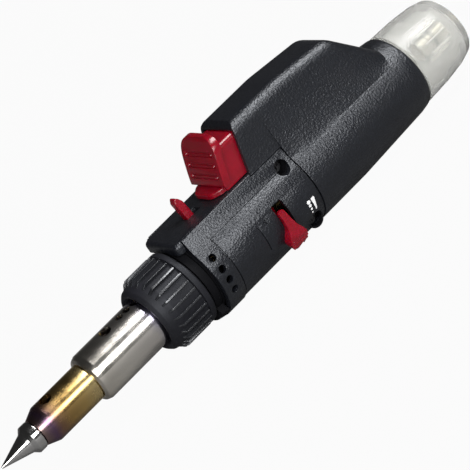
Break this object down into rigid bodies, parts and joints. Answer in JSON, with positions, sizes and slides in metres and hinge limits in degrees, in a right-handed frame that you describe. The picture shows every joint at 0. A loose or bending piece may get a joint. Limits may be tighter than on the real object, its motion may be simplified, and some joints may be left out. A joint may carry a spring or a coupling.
{
  "type": "butane torch",
  "caption": "Hand-held butane soldering torch with a pointed tip, ejector tube, ribbed nut, sliding trigger, lock and flow levers and a clear fuel tank.",
  "frame": {"origin": "centre of the bounding box on the surface that the barrel's belly rests on; the torch's axis is 15.2 mm above it", "axes": "+X along the torch from the soldering tip towards the fuel tank; +Z towards the trigger and hump; -Y on the flow lever's side"},
  "size_m": [0.2004, 0.0318, 0.0472],
  "materials": {
    "bright_metal": "polished nickel plate on copper",
    "tinted_metal": "heat-tinted stainless steel, gold to violet",
    "nickel": "polished nickel plate",
    "brass": "turned",
    "steel": "drawn wire and turned steel",
    "dark_metal": "black oxide",
    "black_plastic": "fine spark texture",
    "red_plastic": "gloss moulding",
    "clear_tank": "clear moulded plastic with a slight smoke tint",
    "seal_rubber": "matt",
    "lead_rubber": "silicone wire sleeve",
    "ceramic": "unglazed ceramic",
    "pale_plastic": "natural acetal"
  },
  "bodies": {
    "housing": {"soldering_tip": "bright_metal", "tip_sleeve": "tinted_metal", "catalyst": "ceramic", "ejector_tube": "nickel", "front_collar": "dark_metal", "mixing_tube": "brass", "gas_jet": "brass", "gas_tube": "brass", "electrode": "steel", "electrode_insulator": "ceramic", "ignition_lead": "lead_rubber", "main_housing": "black_plastic", "left_cover": "black_plastic", "right_cover": "black_plastic", "screw_upper": "dark_metal", "screw_lower": "dark_metal", "trigger_spring": "steel", "piezo_igniter": "pale_plastic", "lever_pin": "steel", "valve_body": "brass", "rocker_pin": "steel", "tank_bulkhead": "black_plastic", "tank_seal": "seal_rubber", "dip_tube": "steel", "fuel_tank": "clear_tank", "filler_valve": "brass", "filler_seal": "seal_rubber", "filler_spring": "steel"},
    "nut": {"lock_nut": "black_plastic"},
    "trigger_body": {"trigger": "red_plastic"},
    "plunger": {"piezo_plunger": "steel"},
    "rocker": {"valve_rocker": "steel"},
    "needle": {"valve_needle": "steel"},
    "lock": {"lock_lever": "red_plastic"},
    "flow": {"flow_lever": "red_plastic", "flow_dial": "dark_metal"},
    "filler_pin": {"filler_stem": "brass"}
  },
  "joints": [
    {"name": "nut_turn", "type": "hinge", "parent": "housing", "child": "nut", "pos_m": [-0.03025, 0.0007, 0.0152], "axis": [1, 0, 0], "continuous": true},
    {"name": "trigger_slide", "type": "slide", "parent": "housing", "child": "trigger_body", "axis": [1, 0, 0], "range_m": [0, 0.0045], "stiffness_N_per_m": 600, "springref_m": -0.003, "deforming": ["trigger_spring"]},
    {"name": "plunger_slide", "type": "slide", "parent": "housing", "child": "plunger", "axis": [1, 0, 0], "range_m": [0, 0.0045]},
    {"name": "rocker_swing", "type": "hinge", "parent": "housing", "child": "rocker", "pos_m": [0.01525, 0.0007, 0.0232], "axis": [0, -1, 0], "range_deg": [0, 11]},
    {"name": "needle_slide", "type": "slide", "parent": "housing", "child": "needle", "axis": [1, 0, 0], "range_m": [0, 0.0016]},
    {"name": "lock_swing", "type": "hinge", "parent": "housing", "child": "lock", "pos_m": [-0.0078, 0.0007, 0.0258], "axis": [0, 1, 0], "range_deg": [0, 15]},
    {"name": "flow_turn", "type": "hinge", "parent": "housing", "child": "flow", "pos_m": [0.01075, 0.0007, 0.0152], "axis": [-1, 0, 0], "range_deg": [-4, 42]},
    {"name": "filler_press", "type": "slide", "parent": "housing", "child": "filler_pin", "axis": [-1, 0, 0], "range_m": [0, 0.0012], "stiffness_N_per_m": 400, "springref_m": -0.001, "deforming": ["filler_spring"]}
  ],
  "couplings": [
    {"joint": "plunger_slide", "follows": "trigger_slide", "ratio": 1},
    {"joint": "rocker_swing", "follows": "trigger_slide", "rad_per_m": 41},
    {"joint": "needle_slide", "follows": "trigger_slide", "ratio": 0.34}
  ]
}
